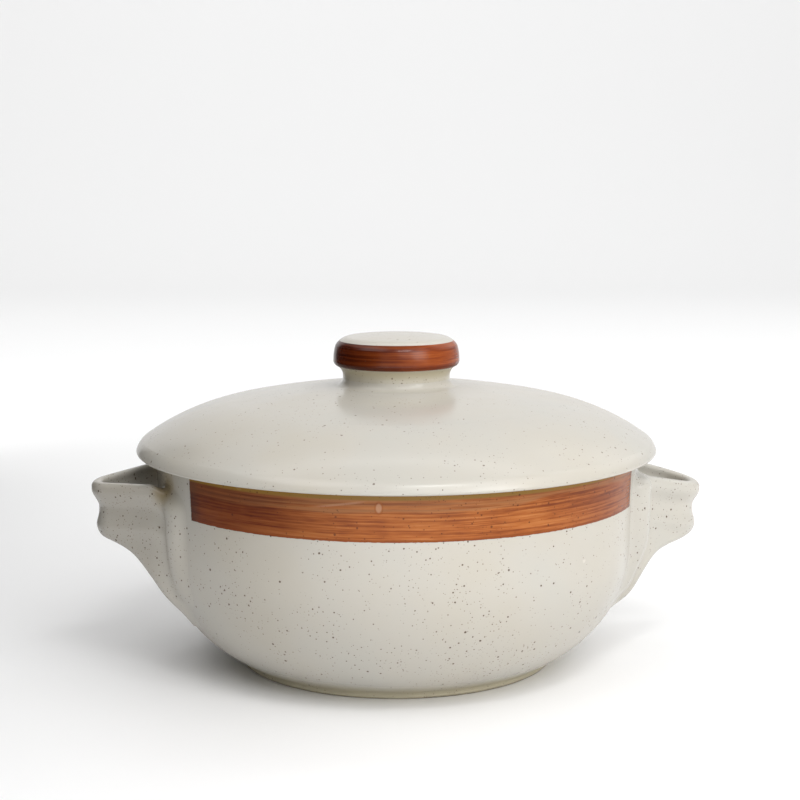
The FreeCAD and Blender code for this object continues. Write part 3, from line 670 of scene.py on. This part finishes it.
def skin(field, low, high, step):
    """A closed mesh of the surface where a field is zero: corners and four-sided faces."""
    axes = [np.arange(a, b + step, step) for a, b in zip(low, high)]
    values = field(*np.meshgrid(*axes, indexing="ij"))
    inside = values < 0
    cells = tuple(n - 1 for n in values.shape)

    def corner(array, i, j, k):
        return array[i:i + cells[0], j:j + cells[1], k:k + cells[2]]

    offsets = [(i, j, k) for i in (0, 1) for j in (0, 1) for k in (0, 1)]
    filled = sum(corner(inside, *o).astype(np.int8) for o in offsets)
    mixed = (filled > 0) & (filled < 8)
    number = np.full(cells, -1)
    number[mixed] = np.arange(mixed.sum())
    total = np.zeros((mixed.sum(), 3))
    count = np.zeros(mixed.sum())
    for start in offsets:
        for axis in range(3):
            if start[axis]:
                continue
            end = tuple(1 if n == axis else start[n] for n in range(3))
            a, b = corner(values, *start)[mixed], corner(values, *end)[mixed]
            crossing = (a < 0) != (b < 0)
            share = np.where(crossing, a / np.where(crossing, a - b, 1), 0)
            for n in range(3):
                total[:, n] += crossing * (share if n == axis else start[n])
            count += crossing
    places = np.argwhere(mixed) + total / count[:, None]
    corners = np.array([axes[n][0] for n in range(3)]) + places * step
    faces = []
    for axis in range(3):
        p, q = [n for n in range(3) if n != axis]
        here = np.take(inside, range(values.shape[axis] - 1), axis)
        there = np.take(inside, range(1, values.shape[axis]), axis)
        for grows in (False, True):
            spots = np.argwhere((here & ~there) if grows else (there & ~here))
            spots = spots[(spots[:, p] > 0) & (spots[:, q] > 0)]
            spots = spots[(spots[:, p] < cells[p]) & (spots[:, q] < cells[q])]
            ring = []
            for dp, dq in ((-1, -1), (0, -1), (0, 0), (-1, 0)):
                cell = spots.copy()
                cell[:, p] += dp
                cell[:, q] += dq
                ring.append(number[tuple(cell.T)])
            quads = np.stack(ring, 1)
            faces.append(quads if grows == (axis != 1) else quads[:, ::-1])
    return corners, np.concatenate(faces)


def settle(field, corners, rounds=3):
    """Moves corners on to the zero of a field, along its slope."""
    probe, longest = 0.05 * MM, 0.3 * MM
    for _ in range(rounds):
        x, y, z = corners.T
        value = field(x, y, z)
        slope = np.stack([
            (field(x + probe, y, z) - field(x - probe, y, z)) / (2 * probe),
            (field(x, y + probe, z) - field(x, y - probe, z)) / (2 * probe),
            (field(x, y, z + probe) - field(x, y, z - probe)) / (2 * probe),
        ], 1)
        size = np.maximum((slope ** 2).sum(1), 0.25)
        move = -slope * (value / size)[:, None]
        corners = corners + np.clip(move, -longest, longest)
    return corners


def mesh_piece(name, corners, faces, material, body):
    """A visible piece that moves with a body."""
    data = bpy.data.meshes.new(name)
    data.from_pydata(corners.tolist(), [], faces.tolist())
    data.polygons.foreach_set("use_smooth", [True] * len(data.polygons))
    data.materials.append(material)
    data.update()
    piece = bpy.data.objects.new(name, data)
    bpy.context.scene.collection.objects.link(piece)
    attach(piece, body)
    return piece


def handle(node, material):
    """A clay handle, sculpted as a mesh, in place of the CAD one."""
    form = HANDLES[node]

    def field(x, y, z):
        return handle_field(x, y, z, form)

    low = (STRAP_START, -56 * MM, 20 * MM)
    high = (form["reach"] + 3 * MM, 56 * MM, 94 * MM)
    corners, faces = skin(field, low, high, PITCH)
    corners = settle(field, corners)
    turn = np.array(Matrix.Rotation(form["turn"], 3, "Z"))
    piece = mesh_piece(node + "_clay", corners @ turn.T, faces, material, "pot")
    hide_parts(node)


# ------------------------------------------------------------------ floor


def floor():
    """A floor that sweeps up, in a quarter circle, into the backdrop."""
    near, far, wide, radius, wall = -2.5, 2.2, 4.0, 1.2, 3.0
    steps = 24
    line = [(near, 0.0)]
    for i in range(steps + 1):
        angle = math.pi / 2 * i / steps
        line.append((far + radius * math.sin(angle), radius * (1 - math.cos(angle))))
    line.append((far + radius, wall))
    corners = []
    for y, z in line:
        corners += [in_studio(-wide, y, z), in_studio(wide, y, z)]
    faces = [(2 * i, 2 * i + 1, 2 * i + 3, 2 * i + 2) for i in range(len(line) - 1)]
    data = bpy.data.meshes.new("floor")
    data.from_pydata([tuple(c) for c in corners], [], faces)
    data.polygons.foreach_set("use_smooth", [True] * len(data.polygons))
    data.materials.append(floor_paint())
    sweep = bpy.data.objects.new("floor", data)
    bpy.context.scene.collection.objects.link(sweep)


def flag():
    """A black card beside the pot, out of view, that keeps the left side from catching light."""
    left, near, far, high = -0.395, -0.7, 0.5, 0.5
    outline = ((near, 0), (far, 0), (far, high), (near, high))
    corners = [in_studio(left, y, z) for y, z in outline]
    data = bpy.data.meshes.new("flag")
    data.from_pydata([tuple(c) for c in corners], [], [(0, 1, 2, 3)])
    shader = Shader("studio_black")
    shader.surface.inputs["Base Color"].default_value = (0.02, 0.02, 0.02, 1)
    shader.surface.inputs["Roughness"].default_value = 0.9
    data.materials.append(shader.material)
    card = bpy.data.objects.new("flag", data)
    card.visible_camera = False
    bpy.context.scene.collection.objects.link(card)


# ------------------------------------------------------------------ the whole

camera()
lights()
floor()
flag()

pot = pot_glaze("speckled_glaze_pot", 0.5)
band = pot_glaze("iron_band_pot", 0.2)
dress("bowl", pot)
dress("rim_band_front", band)
dress("rim_band_rear", band)
dress("foot_ring", foot_glaze())
dress("lid", lid_glaze())
dress("lid_flange", bare_clay())
dress("knob", knob_glaze())
dress("knob_band", knob_band_glaze())
handle("handle_left", pot)
handle("handle_right", pot)

view = bpy.context.scene.view_settings
view.view_transform = "Standard"
